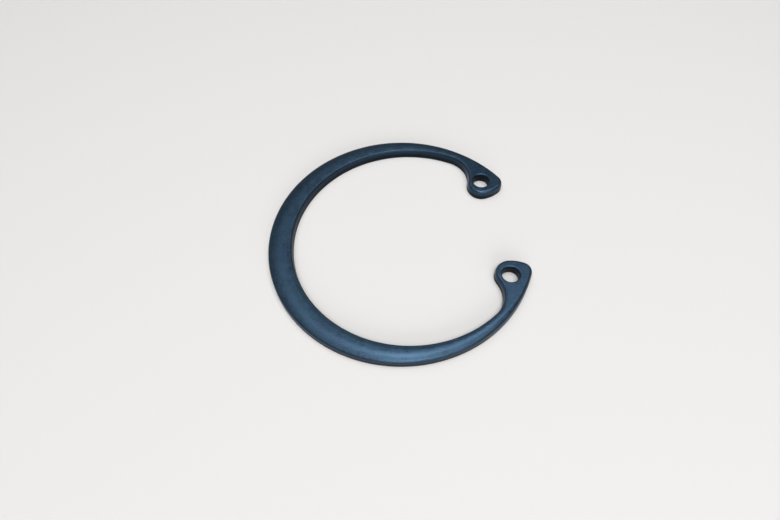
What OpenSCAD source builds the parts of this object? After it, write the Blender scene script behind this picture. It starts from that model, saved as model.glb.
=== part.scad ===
// Internal retaining ring (circlip) for a 35 mm bore, in the free state.
// Millimetres. The ring's axis is Z, its burr side lies on Z = 0 and the gap between the lugs faces +X.
// The stamped strip is widest opposite the gap and thins towards the lugs.
// Its top edges carry the roll that the punch leaves, its bottom edges are square.

/* [Ring] */
// outer diameter in the free state
free_d = 37.8; // [36:0.1:42]
// thickness of the strip
thick = 1.5; // [1.3:0.05:2]
// radial width opposite the gap
body_w = 3.5; // [3.3:0.05:3.8]
// how far the inner circle's centre is moved towards the gap
ecc = 1.2; // [1:0.05:1.3]

/* [Lugs] */
// free distance between the lugs
lug_gap = 12; // [9:0.1:14]
// radius of the lug's inner bulge
bulge_r = 2.1; // [1.8:0.05:2.5]
// distance of the bulge's centre inside the outer circle
bulge_in = 2.8; // [2.6:0.05:3.1]
// radius of the lug's outer corner
corner_r = 1.45; // [1.2:0.05:1.7]
// corner's centre from the bulge's centre, along the ring towards the gap
corner_along = 0.9; // [0.6:0.05:1.2]
// how far the outer edge stands out from the free circle at the corner
corner_out = 0.07; // [0.02:0.01:0.2]
// radius of the lug's nearly straight end face
end_r = 5; // [4:0.5:15]
// how much larger the outer edge's radius is where it runs out to the lug
flat_add = 0.7; // [0.4:0.1:6]
// radius of the neck where the lug grows out of the strip
neck_r = 4.1; // [3:0.1:5.5]

/* [Plier holes] */
// diameter of the plier holes
hole_d = 2.4; // [2:0.1:2.7]
// hole's centre from the bulge's centre, radially outwards
hole_out = 0.13; // [0:0.01:0.3]
// hole's centre from the bulge's centre, along the ring away from the gap
hole_back = 0.29; // [0:0.01:0.5]
// width of the eased edge round the top of each hole
lead_w = 0.18; // [0.1:0.01:0.22]
// depth of that eased edge
lead_h = 0.3; // [0.15:0.01:0.4]

/* [Stamped edges] */
// width of the round at the top edges
roll_w = 0.25; // [0.2:0.01:0.35]
// height of the edge's rounded part
roll_h = 0.8; // [0.6:0.01:0.9]
// width of the sloping zone along the inner edge, with the round
inner_w = 0.75; // [0.6:0.01:0.9]
// largest share of the strip's width that this zone takes
inner_part = 0.33; // [0.3:0.01:0.36]
// its fall in degrees where it meets the round
inner_fall = 9; // [4:1:14]
// how far it bends over towards the land: 0 is straight with a full crease, 1 is tangent to the land
inner_bend = 0; // [0:0.05:1]
// share of the strip's width that slopes towards the outer edge
outer_part = 0.62; // [0.5:0.01:0.63]
// width of the sloping zone round the lugs, with the round
lug_w = 0.5; // [0.42:0.01:0.6]
// fall of the outer and lug zones in degrees where they meet the round
outer_fall = 20; // [10:1:24]

/* [Hidden] */
$fn = 96;
free_r = free_d / 2;
inner_r = free_r + ecc - body_w;
flat_r = free_r + flat_add;
// centres of the arcs that bound the upper half, all tangent to one another
inner_c = [ecc, 0];
bulge_y = lug_gap / 2 + bulge_r;
bulge_c = [sqrt(pow(free_r - bulge_in, 2) - bulge_y * bulge_y), bulge_y];
rad_dir = bulge_c / norm(bulge_c);
gap_dir = [rad_dir[1], -rad_dir[0]];
corner_reach = free_r - corner_r + corner_out;
corner_rad = sqrt(corner_reach * corner_reach - corner_along * corner_along) - norm(bulge_c);
corner_c = bulge_c + corner_rad * rad_dir + corner_along * gap_dir;
hole_c = bulge_c + hole_out * rad_dir - hole_back * gap_dir;
flat_c = meet([0, 0], flat_r - free_r, corner_c, flat_r - corner_r, -1);
end_c = meet(corner_c, end_r - corner_r, bulge_c, end_r - bulge_r, -1);
neck_c = meet(bulge_c, neck_r + bulge_r, inner_c, inner_r - neck_r, -1);
// points where one arc hands over to the next
p_flat = flat_c + flat_r * unit(-flat_c);
p_corner = flat_c + flat_r * unit(corner_c - flat_c);
p_end = end_c + end_r * unit(corner_c - end_c);
p_bulge = end_c + end_r * unit(bulge_c - end_c);
p_neck = bulge_c + bulge_r * unit(neck_c - bulge_c);
p_inner = inner_c + inner_r * unit(neck_c - inner_c);
p_tip = end_c + end_r * unit(p_end + p_bulge - 2 * end_c);
// steps along each arc; the outer chain and the inner chain have the same number
n_body = 46;
n_flat = 10;
n_corner = 8;
n_end = 2;
n_neck = 8;
n_bulge = 10;
n = n_body + n_flat + n_corner + n_end;
// steps of the round and of the sloping zone, points in the edge section
n_roll = 6;
n_slope = 4;
n_sec = 2 + n_roll + n_slope;

function unit(v) = v / norm(v);
function ang(v) = atan2(v[1], v[0]);
// the crossing of two circles; side picks which of the two
function meet(a, ra, b, rb, side) =
    let (d = norm(b - a), u = (b - a) / d, h = (ra * ra - rb * rb + d * d) / (2 * d))
    a + h * u + side * sqrt(max(ra * ra - h * h, 0)) * [-u[1], u[0]];
// the short way round from one angle to the other
function turn(a, b) = let (t = b - a) t > 180 ? t - 360 : (t < -180 ? t + 360 : t);
// points and inward normals [x, y, nx, ny] along one arc, last point left out; solid is 1 with the metal inside the arc
function arc(c, r, from, to, n, solid) =
    let (a0 = ang(from - c), sweep = turn(a0, ang(to - c)))
    [for (i = [0:n - 1]) let (a = a0 + sweep * i / n)
        [c[0] + r * cos(a), c[1] + r * sin(a), -solid * cos(a), -solid * sin(a)]];

outer_chain = concat(
    arc([0, 0], free_r, [-free_r, 0], p_flat, n_body, 1),
    arc(flat_c, flat_r, p_flat, p_corner, n_flat, 1),
    arc(corner_c, corner_r, p_corner, p_end, n_corner, 1),
    arc(end_c, end_r, p_end, p_tip, n_end, 1));
inner_chain = concat(
    arc(inner_c, inner_r, inner_c - [inner_r, 0], p_inner, n_body, -1),
    arc(neck_c, neck_r, p_inner, p_neck, n_neck, -1),
    arc(bulge_c, bulge_r, p_neck, p_bulge, n_bulge, 1),
    arc(end_c, end_r, p_bulge, p_tip, n_end, 1));
tip = concat(p_tip, unit(end_c - p_tip));

// the whole edge as one closed loop, counter-clockwise from above: lower outer chain from the left,
// lower tip, lower inner chain back to the left, upper inner chain, upper tip, upper outer chain
function flip(p) = [p[0], -p[1], p[2], -p[3]];
loop = concat(
    [for (p = outer_chain) flip(p)],
    [flip(tip)],
    [for (j = [n - 1:-1:1]) flip(inner_chain[j])],
    inner_chain,
    [tip],
    [for (j = [n - 1:-1:1]) outer_chain[j]]);

// the strip is thinnest at the necks, where both sloping zones have to fit side by side
strip_min = free_r - norm(neck_c) - neck_r;
zone_fit = min(1, (strip_min - 0.1) / (inner_zone(strip_min) + outer_zone(strip_min)));
function inner_zone(w) = max(lug_w, min(inner_w, inner_part * w));
function outer_zone(w) = max(lug_w, outer_part * w);
// radial width of the strip at a point of the outer edge
function strip_w(p) = let (c = p[0] / norm(p), q = p[1] / norm(p))
    free_r - ecc * c - sqrt(inner_r * inner_r - pow(ecc * q, 2));
// share of the outer edge's form: 0 on the inner strip, 1 round the lugs and along the outer edge
function ease(t) = let (u = min(max(t, 0), 1)) u * u * (3 - 2 * u);
function share(i) = i <= n || i >= 3 * n ? 1 : ease((abs(i - 2 * n) - n_body + 2) / (n_neck + 2));
// how far the outer edge has narrowed to the lug's zone: 0 along the strip, 1 from the lug's corner on
function narrowing(i) = ease((min(i, 4 * n - i) - n_body) / n_flat);
// width of the sloping zone at a point of the loop
function zone(i) =
    let (outer = i < n || i > 3 * n,
        w = outer ? outer_zone(strip_w(loop[i])) : inner_zone(strip_w(loop[i])))
    zone_fit * (w + (lug_w - w) * (outer ? narrowing(i) : share(i)));
// edge section as [inset, height]: square foot, wall, round, sloping zone up to the flat land;
// the zone bends over to the land, with a crease there on the inner strip and none elsewhere
roll_end = 78;
function section(s, w) =
    let (bend = inner_bend + (1 - inner_bend) * s,
        fall = tan(inner_fall) + (tan(outer_fall) - tan(inner_fall)) * s,
        drop = fall * (w - roll_w) / (1 + bend))
    concat(
        [[0, 0], [0, thick - roll_h]],
        [for (k = [1:n_roll]) let (a = roll_end * k / n_roll)
            [roll_w * (1 - cos(a)) / (1 - cos(roll_end)),
             thick - roll_h + (roll_h - drop) * sin(a) / sin(roll_end)]],
        [for (k = [1:n_slope]) let (t = k / n_slope)
            [roll_w + (w - roll_w) * t, thick - drop * (1 - t) * (1 - bend * t)]]);
pts = [for (i = [0:4 * n - 1]) for (q = section(share(i), zone(i)))
    [loop[i][0] + q[0] * loop[i][2], loop[i][1] + q[0] * loop[i][3], q[1]]];
function id(i, k) = (i % (4 * n)) * n_sec + k;
edge_faces = [for (i = [0:4 * n - 1]) for (k = [0:n_sec - 2]) each [
    [id(i, k), id(i, k + 1), id(i + 1, k + 1)],
    [id(i, k), id(i + 1, k + 1), id(i + 1, k)]]];
// a flat side is a row of cross-strips between the outer and the inner chain of each half
function strips(k) = concat(
    [for (j = [0:n - 2]) each [
        [id(j, k), id(j + 1, k), id(2 * n - j - 1, k)],
        [id(j, k), id(2 * n - j - 1, k), id(2 * n - j, k)],
        [id(2 * n + j, k), id(2 * n + j + 1, k), id(4 * n - j - 1, k)],
        [id(2 * n + j, k), id(4 * n - j - 1, k), id(4 * n - j, k)]]],
    [[id(n - 1, k), id(n, k), id(n + 1, k)], [id(3 * n - 1, k), id(3 * n, k), id(3 * n + 1, k)]]);
under_faces = strips(0);
land_faces = [for (f = strips(n_sec - 1)) [f[2], f[1], f[0]]];

// bore of a plier hole with the eased edge round its top
module hole_tool() {
    rotate_extrude()
    polygon(concat(
        [[0, -1], [hole_d / 2, -1], [hole_d / 2, thick - lead_h]],
        [for (a = [18:18:72]) [hole_d / 2 + lead_w * (1 - cos(a)), thick - lead_h * (1 - sin(a))]],
        [[hole_d / 2 + lead_w, thick + 1], [0, thick + 1]]));
}

module retaining_ring() {
    color([0.16, 0.22, 0.3])
    difference() {
        polyhedron(points = pts, faces = concat(edge_faces, under_faces, land_faces), convexity = 6);
        for (side = [-1, 1])
            translate([hole_c[0], side * hole_c[1], 0])
            hole_tool();
    }
}

retaining_ring();
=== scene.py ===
"""Internal retaining ring of blued spring steel, lying flat on a pale floor.

Metres, +Z up, origin on the ring's axis in the plane of its under side, gap towards +X.
The ring is one mesh: its edge section is carried round a loop of tangent arcs, and flat
lands with two round holes close it above and below.
"""
import math
import bmesh
import bpy
import numpy as np
from mathutils import Matrix, Vector


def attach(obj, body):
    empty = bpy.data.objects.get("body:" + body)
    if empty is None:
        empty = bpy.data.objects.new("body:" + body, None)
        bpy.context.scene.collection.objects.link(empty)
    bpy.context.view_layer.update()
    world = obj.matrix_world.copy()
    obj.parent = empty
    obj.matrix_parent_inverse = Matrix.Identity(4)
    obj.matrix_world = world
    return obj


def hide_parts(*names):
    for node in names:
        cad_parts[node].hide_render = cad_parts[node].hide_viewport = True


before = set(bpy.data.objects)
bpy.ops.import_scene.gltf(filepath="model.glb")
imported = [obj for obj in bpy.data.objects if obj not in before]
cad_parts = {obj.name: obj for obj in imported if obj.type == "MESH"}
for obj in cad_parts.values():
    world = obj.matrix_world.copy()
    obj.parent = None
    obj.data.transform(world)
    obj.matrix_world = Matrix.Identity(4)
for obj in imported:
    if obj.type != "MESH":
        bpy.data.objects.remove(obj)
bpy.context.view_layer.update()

MM = 0.001
SAME_LEVEL = 1e-7  # metres within which a point lies at a height

# The ring in millimetres, with the sizes of the CAD model
FREE_R = 18.9  # outer radius in the free state
THICK = 1.5
BODY_W = 3.5  # radial width opposite the gap
ECC = 1.2  # how far the inner circle's centre is moved towards the gap
INNER_R = FREE_R + ECC - BODY_W
LUG_GAP = 12.0  # distance between the lugs
BULGE_R = 2.1  # radius of the lug's inner bulge
BULGE_IN = 2.8  # distance of the bulge's centre inside the outer circle
CORNER_R = 1.45  # radius of the lug's outer corner
CORNER_ALONG = 0.9  # corner's centre from the bulge's centre, along the ring towards the gap
CORNER_OUT = 0.07  # how far the outer edge stands out from the free circle at the corner
END_R = 5.0  # radius of the lug's nearly straight end face
FLAT_ADD = 0.7  # how much larger the outer edge's radius is where it runs out to the lug
FLAT_R = FREE_R + FLAT_ADD
NECK_R = 4.1  # radius of the neck where the lug grows out of the strip
HOLE_R = 1.2  # radius of the plier holes
HOLE_OUT = 0.13  # hole's centre from the bulge's centre, outwards
HOLE_BACK = 0.29  # the same along the ring, away from the gap
LEAD_W = 0.18  # width of the eased edge round the top of each hole
LEAD_H = 0.3  # depth of that eased edge
ROLL_W = 0.25  # width of the round at the top edges
ROLL_H = 0.8  # height of that round
ROLL_END = 78.0  # how many degrees of its quarter ellipse are kept
INNER_W = 0.75  # width of the sloping zone along the inner edge, with the round
INNER_PART = 0.33  # largest share of the strip's width that this zone takes
INNER_FALL = 9.0  # its fall in degrees
OUTER_PART = 0.62  # share of the strip's width that slopes towards the outer edge
LUG_W = 0.5  # width of the sloping zone round the lugs, with the round
OUTER_FALL = 20.0  # fall of the outer and lug zones in degrees
LAND_MIN = 0.1  # least width of the flat land, at the necks

# Millimetres that only this finer mesh has
BREAK = 0.05  # radius of the quarter round that breaks the lower edges
HOLE_BREAK = 0.04  # width of the bevel at the bottom of a hole, as high as the break
HOLE_MARGIN = 0.02  # ring of flat land round the top of a hole
BORE_LEVELS = (0.8, 0.45, BREAK)  # heights of the points down the bore
CREASE_IN, CREASE_DROP = 0.008, 0.0004  # point that softens the crease, past the zone and below the land
LAND_IN = 0.025  # how far past the zone the land starts

# Steps along the arcs of the outer edge and of the inner edge, each from the left round to the lug
OUTER_STEPS, FLAT_STEPS, CORNER_STEPS, END_STEPS = 170, 40, 20, 14
INNER_STEPS, NECK_STEPS, BULGE_STEPS = 160, 34, 30
EARLY_STEPS = 7  # how many steps before the neck the inner edge's form starts to change

# Points of the edge section: 0 to 3 broken lower edge, 4 to 6 wall, 7 to 18 round, 19 to 25 sloping zone,
# 26 crease and 27 land. The zone has one point at each of these shares of its width.
WALL_STEPS, ROUND_STEPS = 3, 12
SLOPE_SHARES = (0.15, 0.3, 0.45, 0.6, 0.75, 0.9, 0.96)

# Points of a hole's section: 0 land, 1 to 8 eased edge, 9 to 11 bore, 12 and 13 under side
LEAD_POINTS = 8
HOLE_TURNS = 120

# Where the finish lies along a section, as point numbers and strengths. The dark mask is the dull sheared
# skin with painted shade on it, darkest on the walls and the bores. It ends at the foot of the round on the
# outer edge and the lugs, and goes on at half strength up the round of the inner strip as painted shade.
OUTER_SHADE_AND_SKIN = ((0, 2, 3, 5, 8), (0, 0.6, 1, 1, 0))
INNER_SHADE_AND_SKIN = ((0, 2, 3, 5, 9, 16, 19), (0, 0.6, 1, 1, 0.45, 0.55, 0))
HOLE_SHADE_AND_SKIN = ((0, 3, 7, 11, 13), (0, 0, 1, 1, 0))
EDGE_WEAR = ((0, 7, 12, 17, 22, 27), (0, 0, 1, 1, 0.35, 0))
HOLE_WEAR = ((0, 1, 3, 6, 9), (0, 0.4, 0.8, 0.8, 0))


# Outline

def unit(v):
    """A vector divided by its own length."""
    return v / np.linalg.norm(v)


def meet(a, ra, b, rb, side):
    """Where two circles cross; side 1 or -1 picks which of the two points.

    With the centres d apart, the point lies h = (ra^2 - rb^2 + d^2) / 2d from a along the line of
    centres, and sqrt(ra^2 - h^2) aside from it.
    """
    d = np.linalg.norm(b - a)
    u = (b - a) / d
    h = (ra * ra - rb * rb + d * d) / (2 * d)
    return a + h * u + side * math.sqrt(max(ra * ra - h * h, 0)) * np.array([-u[1], u[0]])


def arc(centre, radius, start, end, count, solid):
    """Points c + r (cos a, sin a) with inward normals -solid (cos a, sin a), the last point left out.

    The angle a goes in even steps the short way round. Solid is 1 with the metal inside the arc, else -1.
    """
    a0, a1 = (math.atan2(*(p - centre)[::-1]) for p in (start, end))
    turn = (a1 - a0 + math.pi) % (2 * math.pi) - math.pi
    a = a0 + turn * np.arange(count) / count
    ray = np.stack([np.cos(a), np.sin(a)], 1)
    return np.hstack([centre + radius * ray, -solid * ray])


def ease(t):
    """Smooth step: t^2 (3 - 2t) with t held between 0 and 1."""
    t = np.clip(t, 0, 1)
    return t * t * (3 - 2 * t)


def strip_width(rows):
    """Width of the strip along the rays from the axis through the rows' points."""
    ray = rows[:, :2] / np.linalg.norm(rows[:, :2], axis=1)[:, None]
    return FREE_R - ECC * ray[:, 0] - np.sqrt(INNER_R ** 2 - (ECC * ray[:, 1]) ** 2)


def inner_zone(w):
    """Width of the sloping zone along the inner edge of a strip of width w."""
    return np.maximum(LUG_W, np.minimum(INNER_W, INNER_PART * w))


def outer_zone(w):
    """Width of the sloping zone along the outer edge of a strip of width w."""
    return np.maximum(LUG_W, OUTER_PART * w)


def outline():
    """The ring's edge as a closed loop, counter-clockwise, and the centre of the upper plier hole.

    A row holds x, y, the inward normal, the share of the outer edge's form and the sloping zone's width.
    The upper half is worked out and mirrored. Its arcs touch: where one lies inside the other their
    centres are the difference of the radii apart, and where they turn opposite ways the sum.
    """
    zero = np.zeros(2)
    inner_c = np.array([ECC, 0.0])
    bulge_y = LUG_GAP / 2 + BULGE_R
    bulge = np.array([math.sqrt((FREE_R - BULGE_IN) ** 2 - bulge_y ** 2), bulge_y])
    out = unit(bulge)
    gap = np.array([out[1], -out[0]])
    reach = FREE_R - CORNER_R + CORNER_OUT
    corner = out * math.sqrt(reach ** 2 - CORNER_ALONG ** 2) + CORNER_ALONG * gap
    flat = meet(zero, FLAT_R - FREE_R, corner, FLAT_R - CORNER_R, -1)
    end = meet(corner, END_R - CORNER_R, bulge, END_R - BULGE_R, -1)
    neck = meet(bulge, NECK_R + BULGE_R, inner_c, INNER_R - NECK_R, -1)
    # Points where one arc hands over to the next
    p_flat = flat + FLAT_R * unit(-flat)
    p_corner = flat + FLAT_R * unit(corner - flat)
    p_end = end + END_R * unit(corner - end)
    p_bulge = end + END_R * unit(bulge - end)
    p_neck = bulge + BULGE_R * unit(neck - bulge)
    p_inner = inner_c + INNER_R * unit(neck - inner_c)
    outer = np.vstack([
        arc(zero, FREE_R, np.array([-FREE_R, 0]), p_flat, OUTER_STEPS, 1),
        arc(flat, FLAT_R, p_flat, p_corner, FLAT_STEPS, 1),
        arc(corner, CORNER_R, p_corner, p_end, CORNER_STEPS, 1),
        arc(end, END_R, p_end, p_bulge, END_STEPS, 1)])
    inner = np.vstack([
        arc(inner_c, INNER_R, inner_c - [INNER_R, 0], p_inner, INNER_STEPS, -1),
        arc(neck, NECK_R, p_inner, p_neck, NECK_STEPS, -1),
        arc(bulge, BULGE_R, p_neck, p_bulge, BULGE_STEPS, 1)])
    # The two zones share the strip at the neck, narrow to the lug's zone and leave some land between them.
    strip_min = FREE_R - np.linalg.norm(neck) - NECK_R
    fit = min(1.0, (strip_min - LAND_MIN) / (inner_zone(strip_min) + outer_zone(strip_min)))
    narrowing = ease((np.arange(len(outer)) - OUTER_STEPS) / FLAT_STEPS)
    share = ease((np.arange(len(inner)) - INNER_STEPS + EARLY_STEPS) / (NECK_STEPS + EARLY_STEPS))
    w_out = outer_zone(strip_width(outer))
    w_in = inner_zone(strip_width(inner))
    outer = np.column_stack([outer, np.ones(len(outer)), fit * (w_out + (LUG_W - w_out) * narrowing)])
    inner = np.column_stack([inner, share, fit * (w_in + (LUG_W - w_in) * share)])
    last = np.hstack([p_bulge, unit(end - p_bulge), 1.0, fit * LUG_W])[None]
    flip = np.array([1, -1, 1, -1, 1, 1])
    loop = np.vstack([outer * flip, last * flip, (inner * flip)[:0:-1], inner, last, outer[:0:-1]])
    return loop, bulge + HOLE_OUT * out - HOLE_BACK * gap


# Ring

def edge_section(share, w):
    """Inset and height of the edge section's points for every row of the loop, with zone width w.

    The round is a quarter ellipse that is cut off before it is flat. The zone falls evenly on the inner
    strip, with a crease at the land, and as a parabola tangent to the land elsewhere, blended by share.
    """
    n = len(share)
    fall_in, fall_out = (math.tan(math.radians(a)) for a in (INNER_FALL, OUTER_FALL))
    drop = (fall_in + (fall_out - fall_in) * share) * (w - ROLL_W) / (1 + share)
    middle = BREAK * (1 - math.sqrt(0.5))
    inset = [np.full(n, c) for c in (2 * BREAK, BREAK, middle, 0.0)]
    height = [np.full(n, c) for c in (0.0, 0.0, middle, BREAK)]
    for z in np.linspace(BREAK, THICK - ROLL_H, WALL_STEPS + 1)[1:]:
        inset.append(np.zeros(n))
        height.append(np.full(n, z))
    last = math.radians(ROLL_END)
    for a in np.linspace(0, last, ROUND_STEPS + 1)[1:]:
        inset.append(np.full(n, ROLL_W * (1 - math.cos(a)) / (1 - math.cos(last))))
        height.append(THICK - ROLL_H + (ROLL_H - drop) * math.sin(a) / math.sin(last))
    for t in SLOPE_SHARES:
        inset.append(ROLL_W + (w - ROLL_W) * t)
        height.append(THICK - drop * (1 - t) * (1 - share * t))
    inset += [w + CREASE_IN, w + LAND_IN]
    height += [np.full(n, THICK - CREASE_DROP), np.full(n, THICK)]
    return np.stack(inset, 1), np.stack(height, 1)


def along(profile, count):
    """Strength at each of a section's points, in straight steps between the profile's corners."""
    return np.interp(np.arange(count), *profile)


def band_faces(rows, columns):
    """Quads of a closed band: points j and j + 1 of row i with the same two points of the next row round."""
    i, j = np.meshgrid(np.arange(rows), np.arange(columns - 1), indexing="ij")
    here = i * columns + j
    there = (i + 1) % rows * columns + j
    return np.stack([here, there, there + 1, here + 1], -1).reshape(-1, 4)


def edge_band(loop):
    """The edge: point (i, k) is the loop's point i moved by inset k along its inward normal, at height k.

    Returns the points, the faces, how much sheared skin and painted shade and how much wear each point has.
    """
    inset, height = edge_section(loop[:, 4], loop[:, 5])
    n, k = inset.shape
    xy = loop[:, None, :2] + inset[:, :, None] * loop[:, None, 2:4]
    points = np.concatenate([xy, height[:, :, None]], 2).reshape(-1, 3)
    # Sheared skin with painted shade along the section, blended from the inner strip's to the outer edge's
    # by share
    outer_shade_and_skin = along(OUTER_SHADE_AND_SKIN, k)
    inner_shade_and_skin = along(INNER_SHADE_AND_SKIN, k)
    shade_and_skin_amount = (inner_shade_and_skin + (outer_shade_and_skin - inner_shade_and_skin) * loop[:, 4:5]).ravel()
    return points, band_faces(n, k), shade_and_skin_amount, np.tile(along(EDGE_WEAR, k), n)


def hole_band(x, y):
    """A plier hole: its section, a quarter ellipse down to a straight bore, turned about (x, y).

    Returns the same four things as the edge.
    """
    a = np.radians(np.linspace(0, 90, LEAD_POINTS))
    section = [(HOLE_R + LEAD_W + HOLE_MARGIN, THICK)]
    section += [(HOLE_R + LEAD_W * (1 - math.sin(t)), THICK - LEAD_H * (1 - math.cos(t))) for t in a]
    section += [(HOLE_R, z) for z in BORE_LEVELS]
    section += [(HOLE_R + HOLE_BREAK, 0.0), (HOLE_R + HOLE_BREAK + BREAK, 0.0)]
    radius, height = np.array(section).T
    turn = np.linspace(0, 2 * math.pi, HOLE_TURNS, endpoint=False)
    points = np.stack([
        x + np.outer(np.cos(turn), radius),
        y + np.outer(np.sin(turn), radius),
        np.tile(height, (HOLE_TURNS, 1))], 2).reshape(-1, 3)
    m = len(section)
    # Sheared skin with painted shade on the eased edge and down the bore, and wear
    shade_and_skin_amount, wear = (np.tile(along(profile, m), HOLE_TURNS) for profile in (HOLE_SHADE_AND_SKIN, HOLE_WEAR))
    return points, band_faces(HOLE_TURNS, m), shade_and_skin_amount, wear


def fill_flat(bm, z, up):
    """Fill the open edges at height z with triangles that face up (1) or down (-1)."""
    level = [e for e in bm.edges if e.is_boundary and all(abs(v.co.z - z) < SAME_LEVEL for v in e.verts)]
    made = bmesh.ops.triangle_fill(bm, use_beauty=True, edges=level, normal=(0, 0, up))["geom"]
    faces = [f for f in made if isinstance(f, bmesh.types.BMFace)]
    bmesh.ops.reverse_faces(bm, faces=[f for f in faces if f.normal.z * up < 0])


def build_ring():
    """The ring as one mesh: the bands of the edge and of both holes, and the flat sides between them."""
    loop, hole = outline()
    bands = [edge_band(loop), hole_band(hole[0], hole[1]), hole_band(hole[0], -hole[1])]
    points, faces, shade_and_skin_amount, wear = zip(*bands)
    first = np.cumsum([0] + [len(p) for p in points])
    quads = np.vstack([f + start for f, start in zip(faces, first)])
    mesh = bpy.data.meshes.new("ring")
    mesh.from_pydata((np.vstack(points) * MM).tolist(), [], quads.tolist())
    # Point attributes: the dark mask of sheared skin with painted shade, and the wear on the rolled edges
    for name, values in (("wall", shade_and_skin_amount), ("roll", wear)):
        layer = mesh.attributes.new(name, "FLOAT", "POINT")
        layer.data.foreach_set("value", np.concatenate(values).astype(np.float32))
    bm = bmesh.new()
    bm.from_mesh(mesh)
    fill_flat(bm, THICK * MM, 1)
    fill_flat(bm, 0.0, -1)
    bm.to_mesh(mesh)
    bm.free()
    mesh.shade_smooth()
    obj = bpy.data.objects.new("ring_steel", mesh)
    bpy.context.collection.objects.link(obj)
    return obj


# Node helpers

class Nodes:
    """Short hand for building a node tree."""

    def __init__(self, tree):
        self.tree = tree

    def add(self, kind, inputs=None, **props):
        """A new node with its properties set; an input that is a socket is linked, any other is a value."""
        node = self.tree.nodes.new(kind)
        for key, value in props.items():
            setattr(node, key, value)
        for key, value in (inputs or {}).items():
            if isinstance(value, bpy.types.NodeSocket):
                self.tree.links.new(value, node.inputs[key])
            else:
                node.inputs[key].default_value = value
        return node

    def math(self, op, a, b=0.0, clamp=False):
        """The operation on a and b, held between 0 and 1 where clamp is set."""
        return self.add("ShaderNodeMath", {0: a, 1: b}, operation=op, use_clamp=clamp).outputs[0]

    def scale(self, vector, by):
        """A vector multiplied by another, part by part."""
        return self.add("ShaderNodeVectorMath", {0: vector, 1: by}, operation="MULTIPLY").outputs[0]

    def noise(self, vector, scale, detail=2.0, rough=0.5, distortion=0.0):
        """Fractal noise round 0.5; scale is the number of its cells in one unit of the vector."""
        inputs = {"Vector": vector, "Scale": scale, "Detail": detail, "Roughness": rough}
        return self.add("ShaderNodeTexNoise", {**inputs, "Distortion": distortion}).outputs["Fac"]

    def range(self, value, lo, hi, out_lo=0.0, out_hi=1.0):
        """Smooth step of the value from lo to hi, put out between out_lo and out_hi."""
        inputs = {0: value, 1: lo, 2: hi, 3: out_lo, 4: out_hi}
        return self.add("ShaderNodeMapRange", inputs, interpolation_type="SMOOTHSTEP").outputs[0]

    def mix(self, factor, a, b):
        """Colour a where the factor is 0, colour b where it is 1."""
        return self.add("ShaderNodeMix", {0: factor, 6: a, 7: b}, data_type="RGBA").outputs[2]


def new_group(name, inputs, outputs):
    """An empty node group with the given sockets; returns the tree, its input node and its output node."""
    tree = bpy.data.node_groups.new(name, "ShaderNodeTree")
    for label, kind in inputs:
        tree.interface.new_socket(label, in_out="INPUT", socket_type=kind)
    for label, kind in outputs:
        tree.interface.new_socket(label, in_out="OUTPUT", socket_type=kind)
    return tree, tree.nodes.new("NodeGroupInput"), tree.nodes.new("NodeGroupOutput")


def new_material(name):
    """An empty node material; returns it and the helper for its nodes."""
    mat = bpy.data.materials.new(name)
    mat.use_nodes = True
    mat.node_tree.nodes.clear()
    return mat, Nodes(mat.node_tree)


# Steel

DARK_BLUE = (0.019, 0.040, 0.068, 1)
LIGHT_BLUE = (0.027, 0.055, 0.091, 1)
VIOLET_FILM = (0.026, 0.041, 0.080, 1)
GREEN_FILM = (0.019, 0.050, 0.070, 1)
GRAIN_BLUE = (0.042, 0.076, 0.118, 1)
SCUFF_GREY = (0.15, 0.19, 0.23, 1)
WORN_GREY = (0.16, 0.2, 0.24, 1)
# Near black of the sheared skin, darkened further as painted shade on the walls, the bores and the inner
# round
SHEARED_AND_SHADE_DARK = (0.008, 0.010, 0.013, 1)
RELIEF_DEPTH = 0.0000065  # metres for a relief of 1

# Four sets of scuffs: cells of noise in a millimetre along X and across it, turn in radians, and seed
SCUFF_SETS = (
    (0.5, 14.0, 0.3, 3.1),
    (0.35, 18.0, 1.25, 7.7),
    (0.6, 12.0, 2.2, 12.9),
    (0.3, 20.0, 2.75, 21.3),
)


def scuff_group():
    """Fine scratches along X in patches, from a vector in millimetres.

    Each set is noise drawn out along X and cut to its peaks, times a mask of patches. The vector is scaled
    before it is turned, so the turn, like the seed, only picks another part of the noise. The mask that
    comes out is the highest of the sets.
    """
    tree, gin, gout = new_group("scuffs", [("Vector", "NodeSocketVector")], [("Mask", "NodeSocketFloat")])
    nodes = Nodes(tree)
    place = gin.outputs[0]
    total = None
    for lengthwise, crosswise, turn, seed in SCUFF_SETS:
        mapping = {"Vector": place, "Scale": (lengthwise, crosswise, 1.0), "Rotation": (0.0, 0.0, turn)}
        mapping["Location"] = (seed, -seed, seed)
        drawn_out = nodes.add("ShaderNodeMapping", mapping).outputs[0]
        lines = nodes.range(nodes.noise(drawn_out, 1.0, 1.0), 0.69, 0.8)
        patches = nodes.range(nodes.noise(place, 0.35 + 0.01 * seed, 1.0), 0.42, 0.62)
        one = nodes.math("MULTIPLY", lines, patches)
        total = one if total is None else nodes.math("MAXIMUM", total, one)
    tree.links.new(total, gout.inputs[0])
    return tree


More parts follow.
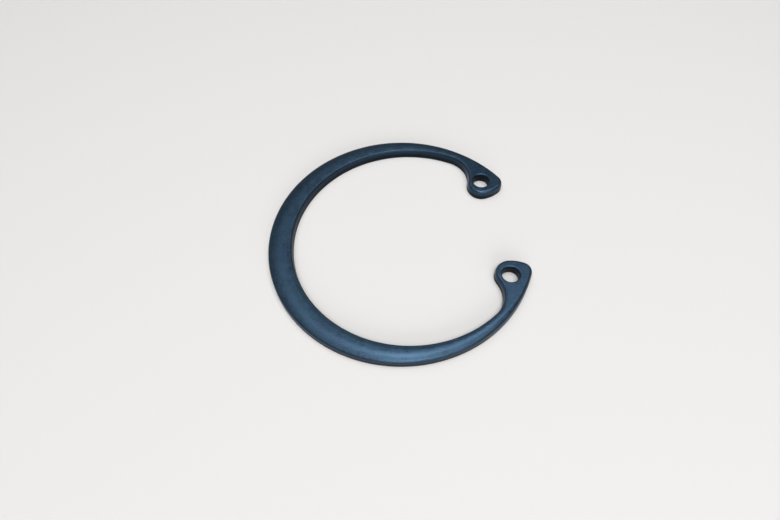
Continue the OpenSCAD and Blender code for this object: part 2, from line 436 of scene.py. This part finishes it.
def steel_material():
    """Blued spring steel: a dark blue metal, mottled by the bath, with fine grain and faint scuffs.

    The attribute roll puts worn bright specks on the rolled edges, and the attribute of sheared skin and
    shade puts the dull skin with painted shade and the upright lines of the shear on the walls, and painted
    shade up the inner round.
    """
    mat, nodes = new_material("blued_steel_finish")
    mm = nodes.scale(nodes.add("ShaderNodeTexCoord").outputs["Object"], (1000.0, 1000.0, 1000.0))
    wall = nodes.add("ShaderNodeAttribute", attribute_name="wall").outputs["Fac"]
    roll = nodes.add("ShaderNodeAttribute", attribute_name="roll").outputs["Fac"]
    scuff = nodes.add("ShaderNodeGroup", {"Vector": mm}, node_tree=scuff_group()).outputs["Mask"]
    cloud = nodes.noise(mm, 0.8, 4.0, 0.6, 0.4)
    tint = nodes.noise(mm, 0.45, 2.0, 0.5)
    grain = nodes.noise(mm, 5.0, 4.0, 0.65)
    specks = nodes.noise(mm, 11.0, 2.0, 0.6)
    colour = nodes.mix(nodes.range(cloud, 0.32, 0.68), DARK_BLUE, LIGHT_BLUE)
    colour = nodes.mix(nodes.range(tint, 0.48, 0.68, 0.0, 0.45), colour, VIOLET_FILM)
    colour = nodes.mix(nodes.range(tint, 0.5, 0.3, 0.0, 0.4), colour, GREEN_FILM)
    colour = nodes.mix(nodes.range(grain, 0.35, 0.7, 0.0, 0.5), colour, GRAIN_BLUE)
    colour = nodes.mix(nodes.math("MULTIPLY", scuff, 0.3), colour, SCUFF_GREY)
    worn = nodes.math("MULTIPLY", roll, nodes.range(specks, 0.5, 0.66))
    colour = nodes.mix(nodes.math("MULTIPLY", worn, 0.2), colour, WORN_GREY)
    # Painted shade with the dull sheared skin: near black on the walls, the bores and the inner strip's
    # round
    colour = nodes.mix(nodes.math("MULTIPLY", wall, 0.85), colour, SHEARED_AND_SHADE_DARK)
    rough = nodes.range(cloud, 0.3, 0.7, 0.29, 0.35)
    rough = nodes.math("ADD", rough, nodes.range(grain, 0.3, 0.7, -0.03, 0.05))
    rough = nodes.math("ADD", rough, nodes.math("MULTIPLY", wall, 0.2))
    # Relief: a peened skin with the grain and the scuffs on it, and upright shear lines on the walls.
    upright = nodes.scale(mm, (1.0, 1.0, 0.06))
    shear = nodes.math("MULTIPLY", nodes.noise(upright, 7.0, 3.0, 0.6), wall)
    relief = nodes.math("MULTIPLY", nodes.noise(mm, 1.6, 3.0, 0.55), 1.6)
    relief = nodes.math("ADD", relief, nodes.math("MULTIPLY", grain, 0.8))
    relief = nodes.math("SUBTRACT", relief, nodes.math("MULTIPLY", scuff, 0.25))
    relief = nodes.math("ADD", relief, nodes.math("MULTIPLY", shear, 1.5))
    bump = {"Strength": 1.0, "Distance": RELIEF_DEPTH, "Height": relief}
    normal = nodes.add("ShaderNodeBump", bump).outputs[0]
    finish = {"Base Color": colour, "Metallic": 1.0, "Roughness": rough, "Normal": normal}
    bsdf = nodes.add("ShaderNodeBsdfPrincipled", finish)
    nodes.add("ShaderNodeOutputMaterial", {"Surface": bsdf.outputs[0]})
    return mat


# Camera: focal length in pixels of the frame and angles in degrees, then the pixel of the origin with its
# depth along the line of sight in millimetres, and the pixel of the lens's own axis.
FRAME_W, FRAME_H = 780, 520
FOCAL, PITCH, TILT, YAW = 535.32, 61.54, -1.33, 8.36
AXIS_U, AXIS_V, DEPTH = 400.43, 244.51, 4.1 * FREE_R
CENTRE_U, CENTRE_V = 391.8, 301.17
SENSOR_W = 36.0


def to_ring(x, y, z):
    """A point given with Y away from the camera, turned about Z into the ring's own axes."""
    a = math.radians(-YAW)
    return (x * math.cos(a) - y * math.sin(a), x * math.sin(a) + y * math.cos(a), z)


def build_camera():
    """Camera with the photograph's perspective, placed so that the ring's axis falls on its own pixel.

    The ring is turned about Z by the yaw, then seen from above by the pitch, then tilted about the line
    of sight. The rows of the whole turn are the camera's right, down and forward.
    """
    p, r, y = (math.radians(v) for v in (PITCH, TILT, YAW))
    right = Vector((1, 0, 0))
    forward = Vector((0, math.cos(p), -math.sin(p)))
    pitch = Matrix((right, forward.cross(right), forward))
    tilt = Matrix(((math.cos(r), -math.sin(r), 0), (math.sin(r), math.cos(r), 0), (0, 0, 1)))
    turn = tilt @ pitch @ Matrix.Rotation(y, 3, "Z")
    sight = Vector(((AXIS_U - CENTRE_U) / FOCAL, (AXIS_V - CENTRE_V) / FOCAL, 1)) * DEPTH * MM
    data = bpy.data.cameras.new("camera")
    data.sensor_width = SENSOR_W
    data.lens = FOCAL * SENSOR_W / FRAME_W
    data.shift_x = (FRAME_W / 2 - CENTRE_U) / FRAME_W
    data.shift_y = (CENTRE_V - FRAME_H / 2) / FRAME_W
    data.clip_start = 0.001
    data.clip_end = 10
    cam = bpy.data.objects.new("camera", data)
    axes = turn.transposed() @ Matrix(((1, 0, 0), (0, -1, 0), (0, 0, -1)))
    cam.matrix_world = Matrix.Translation(turn.transposed() @ -sight) @ axes.to_4x4()
    bpy.context.collection.objects.link(cam)
    bpy.context.scene.camera = cam


# Stage

FLOOR_R = 0.42  # metres
FLOOR_SIDES = 96
FLOOR_DROP = 0.00002  # metres that the floor lies below the ring's under side
FLOOR_PALE = (0.76, 0.75, 0.74, 1)
SURROUND_SEEN = (0.38, 0.38, 0.38, 1)
SURROUND_GLOW = (0.03, 0.03, 0.03, 1)

# Soft boxes round the ring, all facing it from the same distance in millimetres. Each has its elevation
# and heading in degrees (90 is away from the camera), its side in millimetres and its power in watts.
LIGHT_REACH = 450.0
SOFT_BOXES = (
    ("overhead", 89, 90, 90, 0.40),
    ("overhead_front", 79, -90, 110, 0.03),
    ("near_edge", 68, -75, 120, 0.18),
    ("window", 58, 130, 180, 0.13),
    ("window_edge", 58, 170, 180, 0.06),
    ("upper_left", 72, 160, 130, 0.12),
    ("upper_right", 72, 30, 130, 0.22),
    ("right", 58, -30, 180, 0.24),
    ("right_back", 64, 50, 110, 0.13),
    ("back_left", 38, 140, 240, 0.02),
    ("back", 45, 94, 170, 0.055),
    ("front_high", 58, -90, 180, 0.50),
    ("front_left", 58, -140, 180, 0.13),
    ("front", 20, -90, 200, 0.45),
    ("front_right", 20, -60, 200, 0.35),
)


def floor_material():
    """Plain pale matt floor."""
    mat, nodes = new_material("floor_finish")
    finish = {"Base Color": FLOOR_PALE, "Roughness": 0.9, "Specular IOR Level": 0.1}
    bsdf = nodes.add("ShaderNodeBsdfPrincipled", finish)
    nodes.add("ShaderNodeOutputMaterial", {"Surface": bsdf.outputs[0]})
    return mat


def build_floor():
    """A flat disc round the ring's axis: one face with its corners at even angles."""
    a = np.linspace(0, 2 * math.pi, FLOOR_SIDES, endpoint=False)
    rim = np.stack([FLOOR_R * np.cos(a), FLOOR_R * np.sin(a), np.full(FLOOR_SIDES, -FLOOR_DROP)], 1)
    mesh = bpy.data.meshes.new("floor")
    mesh.from_pydata(rim.tolist(), [], [tuple(range(FLOOR_SIDES))])
    mesh.materials.append(floor_material())
    floor = bpy.data.objects.new("floor", mesh)
    bpy.context.collection.objects.link(floor)


def add_soft_box(name, elevation, heading, size, power):
    """A square soft light that faces the origin, from the common distance at the given two angles."""
    e = math.radians(elevation)
    a = math.radians(heading)
    level = LIGHT_REACH * math.cos(e)
    place = Vector(to_ring(level * math.cos(a), level * math.sin(a), LIGHT_REACH * math.sin(e))) * MM
    data = bpy.data.lights.new(name, "AREA")
    data.size = size * MM
    data.energy = power
    obj = bpy.data.objects.new(name, data)
    obj.location = place
    obj.rotation_mode = "QUATERNION"
    obj.rotation_quaternion = (-place).to_track_quat("-Z", "Y")
    bpy.context.collection.objects.link(obj)


def build_surround():
    """A pale grey world for the camera and for reflections, which gives the floor little light.

    Its colour is the brighter one on camera, glossy and transmission rays and the darker one on all others.
    """
    world = bpy.data.worlds.new("surround")
    bpy.context.scene.world = world
    world.use_nodes = True
    world.node_tree.nodes.clear()
    nodes = Nodes(world.node_tree)
    path = nodes.add("ShaderNodeLightPath").outputs
    mirrored = nodes.math("ADD", path["Is Glossy Ray"], path["Is Transmission Ray"])
    seen = nodes.math("ADD", path["Is Camera Ray"], mirrored, clamp=True)
    colour = nodes.mix(seen, SURROUND_GLOW, SURROUND_SEEN)
    back = nodes.add("ShaderNodeBackground", {"Color": colour, "Strength": 1.0})
    nodes.add("ShaderNodeOutputWorld", {"Surface": back.outputs[0]})


def main():
    """Camera, stage and ring, with the ring under the root body and the CAD part hidden."""
    scene = bpy.context.scene
    scene.view_settings.view_transform = "Standard"
    build_camera()
    build_floor()
    for soft_box in SOFT_BOXES:
        add_soft_box(*soft_box)
    build_surround()
    steel = steel_material()
    ring = build_ring()
    ring.data.materials.append(steel)
    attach(ring, "root")
    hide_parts("retaining_ring")


main()
